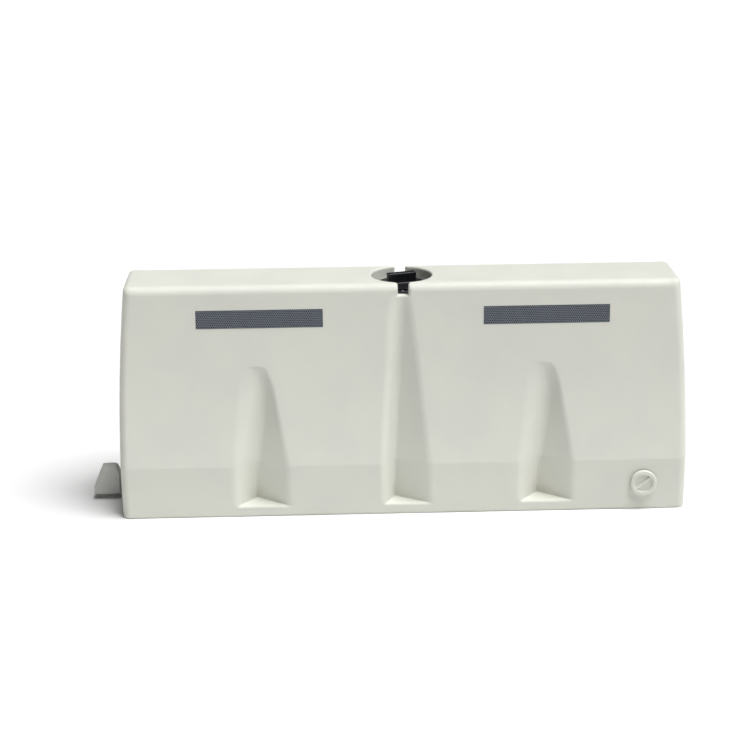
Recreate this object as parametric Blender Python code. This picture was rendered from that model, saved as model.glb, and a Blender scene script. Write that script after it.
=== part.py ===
"""Water filled road barrier, 2 m long.

A rotationally moulded plastic tank stands on its flat base. Its long faces lean in above a
vertical base band and carry V shaped flutes. A round well in the top holds the filler: a
threaded ring screwed over the filler hole and a cap with a grip bar. A drain plug closes the
threaded insert low in the front face. A bolted lug on one end fits the socket moulded in the
other end of the next barrier.

Units are metres, +Z is up, +X runs along the barrier and the front faces -Y. The origin is on
the ground, at the middle of the base.
"""
import math

import bmesh
import bpy
from mathutils import Matrix, Vector

MM = 0.001
GAP = 0.3 * MM                       # clearance left between touching pieces

# Tank, overall
LENGTH = 2000 * MM
DEPTH = 420 * MM                     # across the base
HEIGHT = 824 * MM
TOP_DEPTH = 264 * MM
END_DRAFT = 35 * MM                  # each end curves in this much by the top
FACE_FLARE = 0.65                    # share of the faces' lean that flares out near the crease
FACE_LEVELS = 4                      # flat facets between the crease and the rounded top
CREASE = 188 * MM                    # height of the vertical base band
WALL = 6 * MM
EDGE_RADIUS = 26 * MM                # rounding of the four upright edges
TOP_RADIUS = 26 * MM
FOOT_RADIUS = 6 * MM
CORNER_STEPS = 5

# Flutes: V channels moulded in both long faces, with a flat ledge at the foot of each
LEDGE = 39 * MM
SIDE_FLUTE_X = 502 * MM
FLUTE_OVERSHOOT = 30 * MM
FLUTE_FLARE = 1.5 * MM
FLUTE_LEVELS = 8
SIDE_FLUTE = {
    "apex": 541 * MM,
    "foot_x": 2 * MM,                # the channel leans sideways by this much, low and high
    "apex_x": -4 * MM,
    "half_width": 91 * MM,
    "tip": 4 * MM,                   # half width left at the apex
    "head": 35 * MM,                 # half width where the rounded head ends
    "head_share": 0.28,              # the head's share of the height from crease to apex
    "foot_depth": 85 * MM,           # how far the valley lies behind the face, low and high
    "apex_depth": 2 * MM,
    "deepening": 0.55,               # below 1: the channel is soon deep under its apex
    "valley_foot": -0.27,            # where the valley lies between the centre and the rim
    "valley_drift": 1.05,            # how much further right that is by the apex
    "valley_limit": 0.4,
}
CENTRE_FLUTE = {
    "apex": 798 * MM,
    "foot_x": 10 * MM,
    "apex_x": -6 * MM,
    "half_width": 81 * MM,
    "tip": 14 * MM,
    "head": 28 * MM,
    "head_share": 0.2,
    "foot_depth": 73 * MM,
    "apex_depth": 8 * MM,
    "deepening": 0.6,
    "valley_foot": -0.51,
    "valley_drift": 0.38,
    "valley_limit": 0.0,
}

# Well in the top, and the slot that crosses it from front to back
WELL_RADIUS = 106 * MM
WELL_FLOOR = 780 * MM
WELL_DRAFT = 2 * MM
WELL_RIM = 7 * MM
WELL_FLOOR_THICKNESS = 16 * MM
WELL_SURROUND = 28 * MM              # material round the well, out to the long faces
SLOT_HALF_WIDTH = 18.5 * MM
SLOT_FLOOR = 783 * MM
SLOT_MOUTH = 10 * MM

# Filler: gasket, threaded ring, seal and cap, stacked on the well floor
RING_RADIUS = 98 * MM
RING_FLANGE = 4 * MM
GASKET_THICKNESS = 2 * MM
NECK_RADIUS = 74 * MM
NECK_LENGTH = 42 * MM
CAP_THREAD_RADIUS = 64 * MM
CAP_PITCH = 12 * MM
CAP_THREAD_DEPTH = 1.8 * MM
CAP_CLEARANCE = 0.9 * MM
CAP_RADIUS = 80 * MM
CAP_DISC = 5 * MM
CAP_SPIGOT = 28 * MM
CAP_WALL = 5 * MM
SEAL_THICKNESS = 2 * MM
BAR_SIZE = (104 * MM, 24 * MM, 36 * MM)
BAR_TURN = math.radians(17.5)
RING_SCREWS = 6
SCREW_CIRCLE = 89 * MM
SCREW_SHANK = 2.2 * MM
SCREW_HEAD = 4.4 * MM
SCREW_HEAD_HEIGHT = 2.8 * MM
SCREW_LENGTH = 16 * MM

# Drain: insert moulded in the front wall, seal and plug
DRAIN_X = 847 * MM
DRAIN_Z = 102 * MM
DRAIN_BOSS_RADIUS = 44 * MM
DRAIN_BOSS_LENGTH = 32 * MM
DRAIN_INSERT_RADIUS = 32 * MM
DRAIN_INSERT_LENGTH = 30 * MM
DRAIN_THREAD_RADIUS = 23 * MM
DRAIN_PITCH = 6 * MM
DRAIN_THREAD_DEPTH = 1.0 * MM
DRAIN_CLEARANCE = 0.7 * MM
DRAIN_SEAL_THICKNESS = 2.5 * MM
PLUG_RADIUS = 47 * MM
PLUG_FLANGE = 12 * MM
PLUG_SPIGOT = 26 * MM
PLUG_CUP_RADIUS = 32 * MM
PLUG_CUP_DEPTH = 8 * MM

# Reflective strips on the leaning faces
STRIP_SIZE = (440 * MM, 64 * MM, 0.8 * MM)
STRIP_X = 499 * MM
STRIP_Z = 709 * MM

# Coupling lug bolted to the left end, and the socket in the right end
LUG_FOOT = 22 * MM
LUG_SHOULDER = 50 * MM
LUG_TOP = 131 * MM
LUG_REACH = 118 * MM                 # how far the lug stands out from the end wall
LUG_HEAD_START = 25 * MM             # end wall to the back of the lug's head
LUG_SLANT = 34 * MM                  # how far the outer face leans in by the top
LUG_BACK_SLANT = 12 * MM
LUG_HALF_WIDTH = 26 * MM
LUG_TOP_ROUND = 24 * MM
LUG_NECK_HALF_WIDTH = 14 * MM
LUG_NECK_TOP = 98 * MM
LUG_FLANGE = 6 * MM
LUG_FLANGE_HALF_WIDTH = 62 * MM
LUG_FLANGE_HEIGHTS = (22 * MM, 162 * MM)
LUG_EDGE = 4 * MM
BOLT_Y = 45 * MM
BOLT_HEIGHTS = (42 * MM, 142 * MM)
BOLT_SHANK = 4 * MM
BOLT_HEAD_HALF_FLATS = 6.5 * MM
BOLT_HEAD_HEIGHT = 5.3 * MM
BOLT_LENGTH = 24 * MM
WASHER_RADIUS = 8.5 * MM
WASHER_THICKNESS = 1.6 * MM
INSERT_RADIUS = 8 * MM
INSERT_LENGTH = 20 * MM
INSERT_BOSS_RADIUS = 15 * MM
INSERT_BOSS_LENGTH = 32 * MM
COUPLED_GAP = 14 * MM                # space left between two coupled barriers
SOCKET_CLEARANCE = 6 * MM

# Round pieces
FILLER_STEPS = 36
DRAIN_STEPS = 24
SMALL_STEPS = 12

# Colours as linear red, green and blue
OFF_WHITE = (0.66, 0.67, 0.60)
BLACK = (0.012, 0.013, 0.018)
GREY = (0.21, 0.22, 0.205)
SILVER = (0.60, 0.60, 0.58)
BRASS = (0.62, 0.46, 0.20)
STRIP_GREY = (0.090, 0.110, 0.140)
RUBBER = (0.02, 0.02, 0.02)


def clear_scene():
    for item in list(bpy.data.objects):
        bpy.data.objects.remove(item, do_unlink=True)


def make_material(name, colour, roughness, metallic=0.0):
    material = bpy.data.materials.new(name)
    material.use_nodes = True
    shader = material.node_tree.nodes["Principled BSDF"]
    shader.inputs["Base Color"].default_value = (*colour, 1.0)
    shader.inputs["Roughness"].default_value = roughness
    shader.inputs["Metallic"].default_value = metallic
    return material


def add_object(name, mesh, material=None):
    item = bpy.data.objects.new(name, mesh)
    bpy.context.scene.collection.objects.link(item)
    if material and not mesh.materials:
        mesh.materials.append(material)
    return item


def add_cutter(name, mesh):
    """A shape that only cuts or joins another one, left out of the finished barrier."""
    cutter = add_object(name, mesh)
    cutter.hide_render = True
    cutter.display_type = "WIRE"
    return cutter


def combine(target, operation, *tools):
    for tool in tools:
        step = target.modifiers.new(f"{operation.lower()}_{tool.name}", "BOOLEAN")
        step.operation = operation
        step.solver = "EXACT"
        step.object = tool


def cut(target, *cutters):
    combine(target, "DIFFERENCE", *cutters)


def join(target, *pieces):
    combine(target, "UNION", *pieces)


def finished_mesh(item, name):
    """The item's mesh with its modifiers applied, for copies that share one mesh."""
    bpy.context.view_layer.update()
    evaluated = item.evaluated_get(bpy.context.evaluated_depsgraph_get())
    mesh = bpy.data.meshes.new_from_object(evaluated)
    mesh.name = name
    return mesh


def mesh_from(name, shape, smooth_angle=None):
    bmesh.ops.recalc_face_normals(shape, faces=shape.faces)
    mesh = bpy.data.meshes.new(name)
    shape.to_mesh(mesh)
    shape.free()
    if smooth_angle is not None:
        mesh.shade_smooth()
        mesh.set_sharp_from_angle(angle=math.radians(smooth_angle))
    return mesh


def loft(name, rings, smooth_angle=None):
    """A closed solid through a stack of rings that all have the same number of points."""
    shape = bmesh.new()
    stacked = [[shape.verts.new(point) for point in ring] for ring in rings]
    count = len(rings[0])
    for lower, upper in zip(stacked, stacked[1:]):
        for index in range(count):
            following = (index + 1) % count
            shape.faces.new((lower[index], lower[following], upper[following], upper[index]))
    shape.faces.new(reversed(stacked[0]))
    shape.faces.new(stacked[-1])
    return mesh_from(name, shape, smooth_angle)


def turned(name, profile, steps, pitch=None):
    """A closed profile turned round the Z axis.

    A profile point is (radius, height), or (radius, height, depth) where the surface carries a
    rounded thread of that depth. A radius of 0 is a point on the axis.
    """
    shape = bmesh.new()
    columns = []
    for radius, height, *thread in profile:
        if radius == 0:
            columns.append([shape.verts.new((0, 0, height))])
            continue
        depth = thread[0] if thread else 0.0
        column = []
        for index in range(steps):
            angle = 2 * math.pi * index / steps
            wave = math.cos(2 * math.pi * height / pitch - angle) if depth else 0.0
            reach = radius + depth * wave
            column.append(shape.verts.new((reach * math.cos(angle), reach * math.sin(angle), height)))
        columns.append(column)
    closed = columns + ([columns[0]] if len(columns[0]) > 1 else [])
    for first, second in zip(closed, closed[1:]):
        for index in range(steps):
            corners = []
            for column, place in ((first, index), (first, index + 1), (second, index + 1), (second, index)):
                corner = column[place % len(column)]
                if corner not in corners:
                    corners.append(corner)
            if len(corners) > 2:
                shape.faces.new(corners)
    return mesh_from(name, shape, smooth_angle=35)


def rounded_rectangle(half_x, half_y, radius, height, steps=CORNER_STEPS):
    points = []
    for corner, (side_x, side_y) in enumerate(((1, 1), (-1, 1), (-1, -1), (1, -1))):
        for index in range(steps + 1):
            angle = math.pi / 2 * (corner + index / steps)
            points.append(Vector((
                side_x * (half_x - radius) + radius * math.cos(angle),
                side_y * (half_y - radius) + radius * math.sin(angle),
                height,
            )))
    return points


def block(name, low, high, edge=0.0):
    """A box between two corners, with its edges rounded off by the given radius."""
    shape = bmesh.new()
    bmesh.ops.create_cube(shape, size=1.0)
    size = Vector(high) - Vector(low)
    middle = (Vector(high) + Vector(low)) / 2
    bmesh.ops.scale(shape, vec=size, verts=shape.verts)
    bmesh.ops.translate(shape, vec=middle, verts=shape.verts)
    if edge:
        bmesh.ops.bevel(shape, geom=shape.edges[:], offset=edge, segments=3, profile=0.5,
                        affect="EDGES", clamp_overlap=True)
    return mesh_from(name, shape, smooth_angle=35 if edge else None)


# ---------------------------------------------------------------- tank

def rise_above_crease(height):
    return max(0.0, (height - CREASE) / (HEIGHT - CREASE))


def face_distance(height):
    """Distance of the long faces from the middle plane. They flare out down to the crease."""
    drop = 1 - rise_above_crease(height)
    flare = (1 - FACE_FLARE) * drop + FACE_FLARE * drop ** 2
    return TOP_DEPTH / 2 + (DEPTH - TOP_DEPTH) / 2 * flare


def end_distance(height):
    """Distance of the end faces from the middle of the barrier. They curve in towards the top."""
    return LENGTH / 2 - END_DRAFT * rise_above_crease(height) ** 2


def facet_heights():
    """Heights where the flat facets of the leaning faces meet."""
    step = (HEIGHT - TOP_RADIUS - CREASE) / FACE_LEVELS
    return [CREASE + step * index for index in range(FACE_LEVELS + 1)]


def tank_rings(inset):
    """Rings of the tank's outer skin, or of the water space when inset is the wall."""
    levels = []
    foot = FOOT_RADIUS
    for index in range(4):
        angle = math.pi / 2 * index / 3
        levels.append((inset + foot * (1 - math.cos(angle)), foot * (1 - math.sin(angle))))
    levels += [(height, 0.0) for height in facet_heights()[:-1]]
    top = TOP_RADIUS - inset
    for index in range(6):
        angle = math.pi / 2 * index / 5
        levels.append((HEIGHT - inset - top * (1 - math.sin(angle)), top * (1 - math.cos(angle))))
    rings = []
    for height, shrink in levels:
        corner = max(EDGE_RADIUS - inset - shrink, 2 * MM)
        rings.append(rounded_rectangle(
            end_distance(height) - inset - shrink,
            face_distance(height) - inset - shrink,
            corner,
            height,
        ))
    return rings


def channel_section(flute, rise, along):
    """Half width, depth and sideways place of the valley.

    rise is the share of the way from the crease to the apex, along the share from the ledge.
    """
    below_apex = max(0.0, 1 - rise)
    into_head = 1 - min(1.0, below_apex / flute["head_share"])
    half_width = flute["tip"] + (flute["head"] - flute["tip"]) * math.sqrt(1 - into_head ** 2)
    half_width += (flute["half_width"] - flute["head"]) * below_apex
    opening = max(0.0, 1 - along) ** flute["deepening"]
    depth = flute["apex_depth"] + (flute["foot_depth"] - flute["apex_depth"]) * opening
    drift = min(flute["valley_limit"], flute["valley_foot"] + flute["valley_drift"] * along ** 2)
    return half_width, depth, drift * half_width


def flute_cutter(name, flute, centre_x, side, grow=0.0):
    """The V shaped bite of one flute. side is -1 for the front face and 1 for the back.

    The same bite grown by the wall keeps the water space clear of the flute.
    """
    foot = LEDGE - grow
    apex = flute["apex"] + 3 * grow
    heights = [foot, CREASE]
    for index in range(1, FLUTE_LEVELS + 1):
        heights.append(apex - (apex - CREASE) * (1 - index / FLUTE_LEVELS) ** 1.6)
    rings = []
    for height in heights:
        rise = max(0.0, (height - CREASE) / (apex - CREASE))
        along = (height - foot) / (apex - foot)
        half_width, depth, valley = channel_section(flute, rise, along)
        half_width += 1.5 * grow
        depth += 1.7 * grow
        face = face_distance(height)
        widening = 1 + FLUTE_FLARE / max(depth, 5 * MM)
        left = valley - (half_width + valley) * widening
        right = valley + (half_width - valley) * widening
        rim = face + FLUTE_FLARE
        outside = face + FLUTE_OVERSHOOT
        section = ((left, outside), (left, rim), (valley, face - depth), (right, rim), (right, outside))
        lean = flute["foot_x"] + (flute["apex_x"] - flute["foot_x"]) * along
        rings.append([Vector((centre_x - side * (x + lean), side * y, height)) for x, y in section])
    return add_cutter(name, loft(name, rings))


def flute_cutters(grow=0.0):
    label = "pillar" if grow else "flute"
    cutters = []
    for side, face in ((-1, "front"), (1, "back")):
        cutters.append(flute_cutter(f"{label}_{face}_centre", CENTRE_FLUTE, 0.0, side, grow))
        for direction, end in ((-1, "left"), (1, "right")):
            centre = direction * SIDE_FLUTE_X
            cutters.append(flute_cutter(f"{label}_{face}_{end}", SIDE_FLUTE, centre, side, grow))
    return cutters


def well_cutter():
    profile = [(0, WELL_FLOOR), (WELL_RADIUS - WELL_DRAFT - 4 * MM, WELL_FLOOR)]
    profile.append((WELL_RADIUS - WELL_DRAFT - MM, WELL_FLOOR + MM))
    profile.append((WELL_RADIUS - WELL_DRAFT, WELL_FLOOR + 4 * MM))
    for index in range(4):
        angle = math.pi / 2 * index / 3
        profile.append((WELL_RADIUS + WELL_RIM * (1 - math.cos(angle)),
                        HEIGHT - WELL_RIM * (1 - math.sin(angle))))
    profile.append((WELL_RADIUS + WELL_RIM, HEIGHT + 20 * MM))
    profile.append((0, HEIGHT + 20 * MM))
    return add_cutter("well", turned("well", profile, FILLER_STEPS))


def slot_cutter():
    """One channel through the well from front to back, with rounded mouths at the top."""
    side = [(SLOT_HALF_WIDTH - 3 * MM, SLOT_FLOOR), (SLOT_HALF_WIDTH, SLOT_FLOOR + 3 * MM)]
    for index in range(4):
        angle = math.pi / 2 * index / 3
        side.append((SLOT_HALF_WIDTH + SLOT_MOUTH * (1 - math.cos(angle)),
                     HEIGHT - SLOT_MOUTH * (1 - math.sin(angle))))
    side.append((SLOT_HALF_WIDTH + SLOT_MOUTH, HEIGHT + 20 * MM))
    outline = side + [(-x, z) for x, z in reversed(side)]
    reach = DEPTH / 2
    rings = [[Vector((x, y, z)) for x, z in outline] for y in (-reach, reach)]
    return add_cutter("slot", loft("slot", rings))


def round_cutter(name, radius, lines, steps):
    """Round cutters of one radius, one along each straight line given by its two ends."""
    shape = bmesh.new()
    for start, end in lines:
        along = Vector(end) - Vector(start)
        made = bmesh.ops.create_cone(shape, cap_ends=True, segments=steps, radius1=radius,
                                     radius2=radius, depth=along.length)
        turn = along.to_track_quat("Z", "Y").to_matrix().to_4x4()
        middle = Matrix.Translation((Vector(start) + Vector(end)) / 2)
        bmesh.ops.transform(shape, matrix=middle @ turn, verts=made["verts"])
    return add_cutter(name, mesh_from(name, shape))


def socket_cutters(grow=0.0):
    """Pocket and mouth in the right end that take the next barrier's lug from below."""
    label = "socket_pillar" if grow else "socket"
    slack = SOCKET_CLEARANCE + grow
    lip = LUG_HEAD_START - COUPLED_GAP - 0.5 * SOCKET_CLEARANCE - grow
    outer = LUG_REACH - COUPLED_GAP + slack
    rings = []
    for height, lean in ((-10 * MM, 0.0), (LUG_SHOULDER, 0.0), (LUG_TOP + slack, LUG_SLANT)):
        far = LENGTH / 2 - outer + lean
        near = LENGTH / 2 - lip
        ring = rounded_rectangle((near - far) / 2, LUG_HALF_WIDTH + slack, LUG_EDGE, height, steps=3)
        centre = Vector(((near + far) / 2, 0, 0))
        rings.append([point + centre for point in ring])
    pocket = add_cutter(f"{label}_pocket", loft(f"{label}_pocket", rings))
    half = LUG_NECK_HALF_WIDTH + slack
    low = (LENGTH / 2 - lip - 5 * MM, -half, -10 * MM)
    high = (LENGTH / 2 + 20 * MM, half, LUG_NECK_TOP + slack + 4 * MM)
    mouth = add_cutter(f"{label}_mouth", block(f"{label}_mouth", low, high))
    return [pocket, mouth]


def insert_places():
    return [(side * BOLT_Y, height) for side in (-1, 1) for height in BOLT_HEIGHTS]


def insert_lines(depth):
    """Lines through the left end wall at the four bolts, from outside to the given depth."""
    wall = -LENGTH / 2
    return [((wall - 20 * MM, across, height), (wall + depth, across, height))
            for across, height in insert_places()]


def drain_line(depth):
    """The drain's axis, from in front of the barrier to the given depth behind its face."""
    face = -DEPTH / 2
    return (DRAIN_X, face - 20 * MM, DRAIN_Z), (DRAIN_X, face + depth, DRAIN_Z)


def ring_screw_places():
    places = []
    for index in range(RING_SCREWS):
        angle = 2 * math.pi * (index + 0.5) / RING_SCREWS
        places.append((SCREW_CIRCLE * math.cos(angle), SCREW_CIRCLE * math.sin(angle)))
    return places


def screw_lines(low, high):
    return [((x, y, low), (x, y, high)) for x, y in ring_screw_places()]


def water_space():
    """The hollow of the tank, which keeps clear of every channel, pocket and boss by a wall."""
    space = add_cutter("water_space", loft("water_space", tank_rings(WALL)))
    well_line = (0, 0, WELL_FLOOR - WELL_FLOOR_THICKNESS), (0, 0, HEIGHT + 20 * MM)
    well_pillar = round_cutter("well_pillar", WELL_RADIUS + WELL_SURROUND, [well_line], FILLER_STEPS)
    drain_boss = round_cutter("drain_boss", DRAIN_BOSS_RADIUS, [drain_line(DRAIN_BOSS_LENGTH)],
                              DRAIN_STEPS)
    insert_bosses = round_cutter("insert_bosses", INSERT_BOSS_RADIUS, insert_lines(INSERT_BOSS_LENGTH),
                                 SMALL_STEPS)
    cut(space, well_pillar, drain_boss, insert_bosses, *flute_cutters(WALL), *socket_cutters(WALL))
    return space


def make_shell(material):
    shell = add_object("shell", loft("shell", tank_rings(0.0), smooth_angle=30), material)
    cut(shell, *flute_cutters(), well_cutter(), slot_cutter(), *socket_cutters(), water_space())
    filler_line = (0, 0, WELL_FLOOR - 2 * WELL_FLOOR_THICKNESS), (0, 0, WELL_FLOOR + WALL)
    filler_hole = round_cutter("filler_hole", NECK_RADIUS + 2 * GAP, [filler_line], FILLER_STEPS)
    drain_hole = round_cutter("drain_hole", DRAIN_INSERT_RADIUS + 1.5 * GAP,
                              [drain_line(DRAIN_BOSS_LENGTH + 10 * MM)], DRAIN_STEPS)
    pilot_depth = WELL_FLOOR - SCREW_LENGTH + RING_FLANGE
    pilots = round_cutter("screw_pilots", SCREW_SHANK + 1.5 * GAP,
                          screw_lines(pilot_depth, WELL_FLOOR + WALL), SMALL_STEPS)
    insert_holes = round_cutter("insert_holes", INSERT_RADIUS + 1.5 * GAP,
                                insert_lines(INSERT_LENGTH + 6 * MM), SMALL_STEPS)
    cut(shell, filler_hole, drain_hole, pilots, insert_holes)


# ---------------------------------------------------------------- filler

def thread_rows(radius, top, bottom, depth, spacing, fade):
    """Rows of a threaded wall from top to bottom, down to the root near both ends if asked."""
    count = max(2, round((top - bottom) / spacing))
    rows = []
    for index in range(count + 1):
        height = top - (top - bottom) * index / count
        edge = min(index, count - index)
        strength = min(1.0, 0.34 * edge) if fade else 1.0
        rows.append((radius - depth * (1 - strength), height, depth * strength))
    return rows


GASKET_SEAT = WELL_FLOOR + GAP
RING_SEAT = GASKET_SEAT + GASKET_THICKNESS + GAP
SEAL_SEAT = RING_SEAT + RING_FLANGE + GAP
CAP_SEAT = SEAL_SEAT + SEAL_THICKNESS + GAP


def drill_screw_holes(item, height):
    cut(item, round_cutter(f"{item.name}_holes", SCREW_SHANK + 1.5 * GAP,
                           screw_lines(height - WALL, height + 2 * WALL), SMALL_STEPS))


def make_ring_gasket(material):
    profile = [
        (NECK_RADIUS + MM, GASKET_SEAT),
        (RING_RADIUS - MM, GASKET_SEAT),
        (RING_RADIUS - MM, GASKET_SEAT + GASKET_THICKNESS),
        (NECK_RADIUS + MM, GASKET_SEAT + GASKET_THICKNESS),
    ]
    gasket = add_object("ring_gasket", turned("ring_gasket", profile, FILLER_STEPS), material)
    drill_screw_holes(gasket, GASKET_SEAT)


def make_filler_ring(material):
    """Flange on the well floor and a neck through it, threaded inside for the cap."""
    top = RING_SEAT + RING_FLANGE
    bottom = top - NECK_LENGTH
    bore = CAP_THREAD_RADIUS + CAP_CLEARANCE
    profile = [
        (NECK_RADIUS, bottom),
        (NECK_RADIUS, RING_SEAT),
        (RING_RADIUS - MM, RING_SEAT),
        (RING_RADIUS, RING_SEAT + MM),
        (RING_RADIUS, top - MM),
        (RING_RADIUS - MM, top),
    ]
    profile += thread_rows(bore, top, bottom, CAP_THREAD_DEPTH, CAP_PITCH / 5, fade=False)
    mesh = turned("filler_ring", profile, FILLER_STEPS, CAP_PITCH)
    ring = add_object("filler_ring", mesh, material)
    drill_screw_holes(ring, RING_SEAT)


def make_filler_cap(material):
    """Cap with a hollow threaded spigot and a grip bar across its top."""
    spigot_bottom = CAP_SEAT - CAP_SPIGOT
    core = CAP_THREAD_RADIUS - CAP_THREAD_DEPTH
    profile = [
        (0, CAP_SEAT + CAP_DISC),
        (CAP_RADIUS - 1.5 * MM, CAP_SEAT + CAP_DISC),
        (CAP_RADIUS, CAP_SEAT + CAP_DISC - 1.5 * MM),
        (CAP_RADIUS, CAP_SEAT),
    ]
    profile += thread_rows(CAP_THREAD_RADIUS, CAP_SEAT, spigot_bottom, CAP_THREAD_DEPTH,
                           CAP_PITCH / 5, fade=True)
    profile.append((core - CAP_WALL, spigot_bottom))
    profile.append((core - CAP_WALL, CAP_SEAT + MM))
    profile.append((0, CAP_SEAT + MM))
    mesh = turned("filler_cap", profile, FILLER_STEPS, CAP_PITCH)
    cap = add_object("filler_cap", mesh, material)
    length, width, height = BAR_SIZE
    low = (-length / 2, -width / 2, CAP_SEAT + CAP_DISC - 3 * MM)
    high = (length / 2, width / 2, CAP_SEAT + CAP_DISC + height)
    bar_mesh = block("grip_bar", low, high, edge=3 * MM)
    bar_mesh.transform(Matrix.Rotation(BAR_TURN, 4, "Z"))
    join(cap, add_cutter("grip_bar", bar_mesh))


def make_cap_seal(material):
    inner = CAP_THREAD_RADIUS + 4 * MM
    outer = CAP_RADIUS - 2 * MM
    profile = [
        (inner, SEAL_SEAT),
        (outer, SEAL_SEAT),
        (outer, SEAL_SEAT + SEAL_THICKNESS),
        (inner, SEAL_SEAT + SEAL_THICKNESS),
    ]
    add_object("cap_seal", turned("cap_seal", profile, FILLER_STEPS), material)


def ring_screw_mesh():
    """Pan head screw with a cross recess, hanging down from the underside of its head."""
    profile = [
        (0, SCREW_HEAD_HEIGHT),
        (0.55 * SCREW_HEAD, SCREW_HEAD_HEIGHT),
        (0.9 * SCREW_HEAD, 0.7 * SCREW_HEAD_HEIGHT),
        (SCREW_HEAD, 0.25 * SCREW_HEAD_HEIGHT),
        (SCREW_HEAD, 0),
        (SCREW_SHANK, 0),
        (SCREW_SHANK, 2 * MM - SCREW_LENGTH),
        (0, -SCREW_LENGTH),
    ]
    blank = add_cutter("screw_blank", turned("screw_blank", profile, SMALL_STEPS))
    arm, half = 2.4 * MM, 0.45 * MM
    for index, (x, y) in enumerate(((arm, half), (half, arm))):
        low = (-x, -y, SCREW_HEAD_HEIGHT - 1.4 * MM)
        high = (x, y, SCREW_HEAD_HEIGHT + MM)
        cut(blank, add_cutter(f"recess_{index}", block(f"recess_{index}", low, high)))
    return finished_mesh(blank, "ring_screw")


def make_ring_screws(material):
    mesh = ring_screw_mesh()
    for index, (x, y) in enumerate(ring_screw_places(), start=1):
        screw = add_object(f"ring_screw_{index}", mesh, material)
        screw.location = (x, y, RING_SEAT + RING_FLANGE + GAP)


# ---------------------------------------------------------------- drain

def make_drain(insert_material, seal_material, plug_material):
    """Drain pieces, modelled along +Z out of the wall and turned to face the front."""
    base = bpy.data.objects.new("drain_axis", None)
    bpy.context.scene.collection.objects.link(base)
    base.location = (DRAIN_X, -DEPTH / 2, DRAIN_Z)
    base.rotation_euler = (math.pi / 2, 0, 0)
    pieces = (
        add_object("drain_insert", drain_insert_mesh(), insert_material),
        add_object("drain_seal", drain_seal_mesh(), seal_material),
        make_drain_plug(plug_material),
    )
    for piece in pieces:
        piece.parent = base


def drain_insert_mesh():
    front = -GAP
    back = front - DRAIN_INSERT_LENGTH
    groove = DRAIN_INSERT_RADIUS - 2 * MM
    profile = [
        (DRAIN_INSERT_RADIUS, back),
        (DRAIN_INSERT_RADIUS, back + 8 * MM),
        (groove, back + 9 * MM),
        (groove, front - 9 * MM),
        (DRAIN_INSERT_RADIUS, front - 8 * MM),
        (DRAIN_INSERT_RADIUS, front),
    ]
    profile += thread_rows(DRAIN_THREAD_RADIUS + DRAIN_CLEARANCE, front, back, DRAIN_THREAD_DEPTH,
                           DRAIN_PITCH / 4, fade=False)
    return turned("drain_insert", profile, DRAIN_STEPS, DRAIN_PITCH)


def drain_seal_mesh():
    inner = DRAIN_THREAD_RADIUS + 4 * MM
    outer = PLUG_RADIUS - 3 * MM
    profile = [
        (inner, GAP),
        (outer, GAP),
        (outer, GAP + DRAIN_SEAL_THICKNESS),
        (inner, GAP + DRAIN_SEAL_THICKNESS),
    ]
    return turned("drain_seal", profile, DRAIN_STEPS)


def make_drain_plug(material):
    """Plug with a threaded spigot, a cup in its face and a grip bar across the cup."""
    seat = 2 * GAP + DRAIN_SEAL_THICKNESS
    face = seat + PLUG_FLANGE
    cup = face - PLUG_CUP_DEPTH
    spigot = seat - PLUG_SPIGOT
    core = DRAIN_THREAD_RADIUS - DRAIN_THREAD_DEPTH
    profile = [(0, cup), (PLUG_CUP_RADIUS - 3 * MM, cup), (PLUG_CUP_RADIUS, cup + 3 * MM)]
    profile += [(PLUG_CUP_RADIUS + 2 * MM, face - 2 * MM), (PLUG_CUP_RADIUS + 4 * MM, face)]
    for index in range(4):
        angle = math.pi / 2 * (1 - index / 3)
        profile.append((PLUG_RADIUS - 5 * MM * (1 - math.cos(angle)),
                        face - 5 * MM * (1 - math.sin(angle))))
    profile.append((PLUG_RADIUS, seat))
    profile += thread_rows(DRAIN_THREAD_RADIUS, seat, spigot, DRAIN_THREAD_DEPTH, DRAIN_PITCH / 4,
                           fade=True)
    profile.append((core - 3 * MM, spigot))
    profile.append((core - 3 * MM, seat - MM))
    profile.append((0, seat - MM))
    plug = add_object("drain_plug", turned("drain_plug", profile, DRAIN_STEPS, DRAIN_PITCH), material)
    low = (-PLUG_CUP_RADIUS, -5 * MM, cup - 2 * MM)
    high = (PLUG_CUP_RADIUS, 5 * MM, face - 2.5 * MM)
    bar_mesh = block("plug_bar", low, high, edge=1.5 * MM)
    bar_mesh.transform(Matrix.Rotation(math.radians(40), 4, "Z"))
    bar = add_cutter("plug_bar", bar_mesh)
    bar.location = (DRAIN_X, -DEPTH / 2, DRAIN_Z)
    bar.rotation_euler = (math.pi / 2, 0, 0)
    join(plug, bar)
    return plug


# ---------------------------------------------------------------- reflective strips

def make_strips(material):
    """Two foil strips on each leaning face, laid on its upper facet."""
    low, high = facet_heights()[-2:]
    inward = (face_distance(low) - face_distance(high)) / (high - low)
    lean = math.atan(inward)
    distance = face_distance(low) - inward * (STRIP_Z - low)
    length, width, thickness = STRIP_SIZE
    mesh = block("strip", (-length / 2, -width / 2, GAP), (length / 2, width / 2, GAP + thickness))
    for face, half_turn in (("front", 0.0), ("rear", math.pi)):
        for direction, end in ((-1, "left"), (1, "right")):
            strip = add_object(f"{face}_strip_{end}", mesh, material)
            side = -1 if face == "front" else 1
            strip.location = (direction * STRIP_X, side * distance, STRIP_Z)
            strip.rotation_euler = (math.pi / 2 - lean, 0, half_turn)


# ---------------------------------------------------------------- coupling lug

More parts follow.
